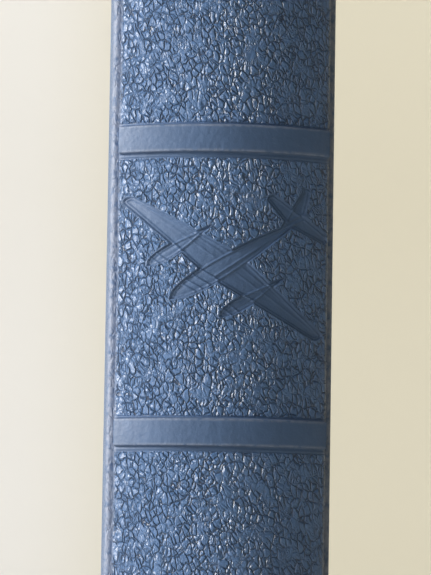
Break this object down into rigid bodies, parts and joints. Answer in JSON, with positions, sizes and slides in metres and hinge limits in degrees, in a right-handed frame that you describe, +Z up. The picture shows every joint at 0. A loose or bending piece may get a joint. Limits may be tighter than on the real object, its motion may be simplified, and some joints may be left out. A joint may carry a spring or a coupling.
{
  "type": "pilot logbook",
  "caption": "Leather-bound pilot logbook with a round spine, raised bands and an embossed aeroplane; the covers swing open and the sewn sections fan out.",
  "frame": {"origin": "under the middle of the closed book's box, on the plane that its tail edges stand on", "axes": "+Z up the spine from tail to head; +Y from the spine to the fore edge, so the spine faces -Y; +X out of the front cover"},
  "size_m": [0.033, 0.2854, 0.212],
  "materials": {
    "blue_leather": "satin",
    "spine_card": "matte",
    "band_card": "matte",
    "kraft_paper": "matte",
    "mull_cloth": "matte",
    "linen_thread": "matte",
    "silk_band": "satin",
    "page_paper": "matte",
    "grey_board": "matte",
    "endpaper": "matte"
  },
  "bodies": {
    "root": {"spine_leather": "blue_leather", "spine_stiffener": "spine_card", "raised_band_1": "band_card", "raised_band_2": "band_card", "raised_band_3": "band_card", "raised_band_4": "band_card", "spine_lining": "kraft_paper", "mull": "mull_cloth", "sewing_thread": "linen_thread", "headband": "silk_band", "tailband": "silk_band", "section_folds": "page_paper", "front_joint_leather": "blue_leather", "back_joint_leather": "blue_leather", "front_endpaper_fold": "endpaper", "back_endpaper_fold": "endpaper"},
    "front_cover": {"front_cover_leather": "blue_leather", "front_board": "grey_board", "front_mull_wing": "mull_cloth", "front_pastedown": "endpaper"},
    "back_cover": {"back_cover_leather": "blue_leather", "back_board": "grey_board", "back_mull_wing": "mull_cloth", "back_pastedown": "endpaper"},
    "front_flyleaf": {"front_flyleaf": "endpaper"},
    "back_flyleaf": {"back_flyleaf": "endpaper"},
    "section_01": {"section_01": "page_paper"},
    "section_02": {"section_02": "page_paper"},
    "section_03": {"section_03": "page_paper"},
    "section_04": {"section_04": "page_paper"},
    "section_05": {"section_05": "page_paper"},
    "section_06": {"section_06": "page_paper"},
    "section_07": {"section_07": "page_paper"},
    "section_08": {"section_08": "page_paper"},
    "section_09": {"section_09": "page_paper"},
    "section_10": {"section_10": "page_paper"},
    "section_11": {"section_11": "page_paper"},
    "section_12": {"section_12": "page_paper"}
  },
  "joints": [
    {"name": "front_cover_hinge", "type": "hinge", "parent": "root", "child": "front_cover", "pos_m": [0.01648, -0.13392, 0], "axis": [0, 0, -1], "range_deg": [0, 180]},
    {"name": "back_cover_hinge", "type": "hinge", "parent": "root", "child": "back_cover", "pos_m": [-0.01648, -0.13392, 0], "axis": [0, 0, 1], "range_deg": [0, 180]},
    {"name": "front_flyleaf_bend", "type": "hinge", "parent": "root", "child": "front_flyleaf", "pos_m": [0.01268, -0.13052, 0], "axis": [0, 0, -1], "range_deg": [0, 105.01]},
    {"name": "back_flyleaf_bend", "type": "hinge", "parent": "root", "child": "back_flyleaf", "pos_m": [-0.01268, -0.13052, 0], "axis": [0, 0, 1], "range_deg": [0, 105.01]},
    {"name": "section_01_bend", "type": "hinge", "parent": "root", "child": "section_01", "pos_m": [0.01144, -0.12902, 0], "axis": [0, 0, -1], "range_deg": [0, 90.01]},
    {"name": "section_02_bend", "type": "hinge", "parent": "root", "child": "section_02", "pos_m": [0.00936, -0.12694, 0], "axis": [0, 0, -1], "range_deg": [0, 75.01]},
    {"name": "section_03_bend", "type": "hinge", "parent": "root", "child": "section_03", "pos_m": [0.00728, -0.12486, 0], "axis": [0, 0, -1], "range_deg": [0, 60.01]},
    {"name": "section_04_bend", "type": "hinge", "parent": "root", "child": "section_04", "pos_m": [0.0052, -0.12278, 0], "axis": [0, 0, -1], "range_deg": [0, 45.01]},
    {"name": "section_05_bend", "type": "hinge", "parent": "root", "child": "section_05", "pos_m": [0.00312, -0.1207, 0], "axis": [0, 0, -1], "range_deg": [0, 30.01]},
    {"name": "section_06_bend", "type": "hinge", "parent": "root", "child": "section_06", "pos_m": [0.00104, -0.11862, 0], "axis": [0, 0, -1], "range_deg": [0, 15.01]},
    {"name": "section_07_bend", "type": "hinge", "parent": "root", "child": "section_07", "pos_m": [-0.00104, -0.11862, 0], "axis": [0, 0, 1], "range_deg": [0, 15.01]},
    {"name": "section_08_bend", "type": "hinge", "parent": "root", "child": "section_08", "pos_m": [-0.00312, -0.1207, 0], "axis": [0, 0, 1], "range_deg": [0, 30.01]},
    {"name": "section_09_bend", "type": "hinge", "parent": "root", "child": "section_09", "pos_m": [-0.0052, -0.12278, 0], "axis": [0, 0, 1], "range_deg": [0, 45.01]},
    {"name": "section_10_bend", "type": "hinge", "parent": "root", "child": "section_10", "pos_m": [-0.00728, -0.12486, 0], "axis": [0, 0, 1], "range_deg": [0, 60.01]},
    {"name": "section_11_bend", "type": "hinge", "parent": "root", "child": "section_11", "pos_m": [-0.00936, -0.12694, 0], "axis": [0, 0, 1], "range_deg": [0, 75.01]},
    {"name": "section_12_bend", "type": "hinge", "parent": "root", "child": "section_12", "pos_m": [-0.01144, -0.12902, 0], "axis": [0, 0, 1], "range_deg": [0, 90.01]}
  ],
  "couplings": [
    {"joint": "front_flyleaf_bend", "follows": "front_cover_hinge", "ratio": 0.58333},
    {"joint": "back_flyleaf_bend", "follows": "back_cover_hinge", "ratio": 0.58333},
    {"joint": "section_01_bend", "follows": "front_cover_hinge", "ratio": 0.5},
    {"joint": "section_02_bend", "follows": "front_cover_hinge", "ratio": 0.41667},
    {"joint": "section_03_bend", "follows": "front_cover_hinge", "ratio": 0.33333},
    {"joint": "section_04_bend", "follows": "front_cover_hinge", "ratio": 0.25},
    {"joint": "section_05_bend", "follows": "front_cover_hinge", "ratio": 0.16667},
    {"joint": "section_06_bend", "follows": "front_cover_hinge", "ratio": 0.083333},
    {"joint": "section_07_bend", "follows": "back_cover_hinge", "ratio": 0.083333},
    {"joint": "section_08_bend", "follows": "back_cover_hinge", "ratio": 0.16667},
    {"joint": "section_09_bend", "follows": "back_cover_hinge", "ratio": 0.25},
    {"joint": "section_10_bend", "follows": "back_cover_hinge", "ratio": 0.33333},
    {"joint": "section_11_bend", "follows": "back_cover_hinge", "ratio": 0.41667},
    {"joint": "section_12_bend", "follows": "back_cover_hinge", "ratio": 0.5}
  ]
}
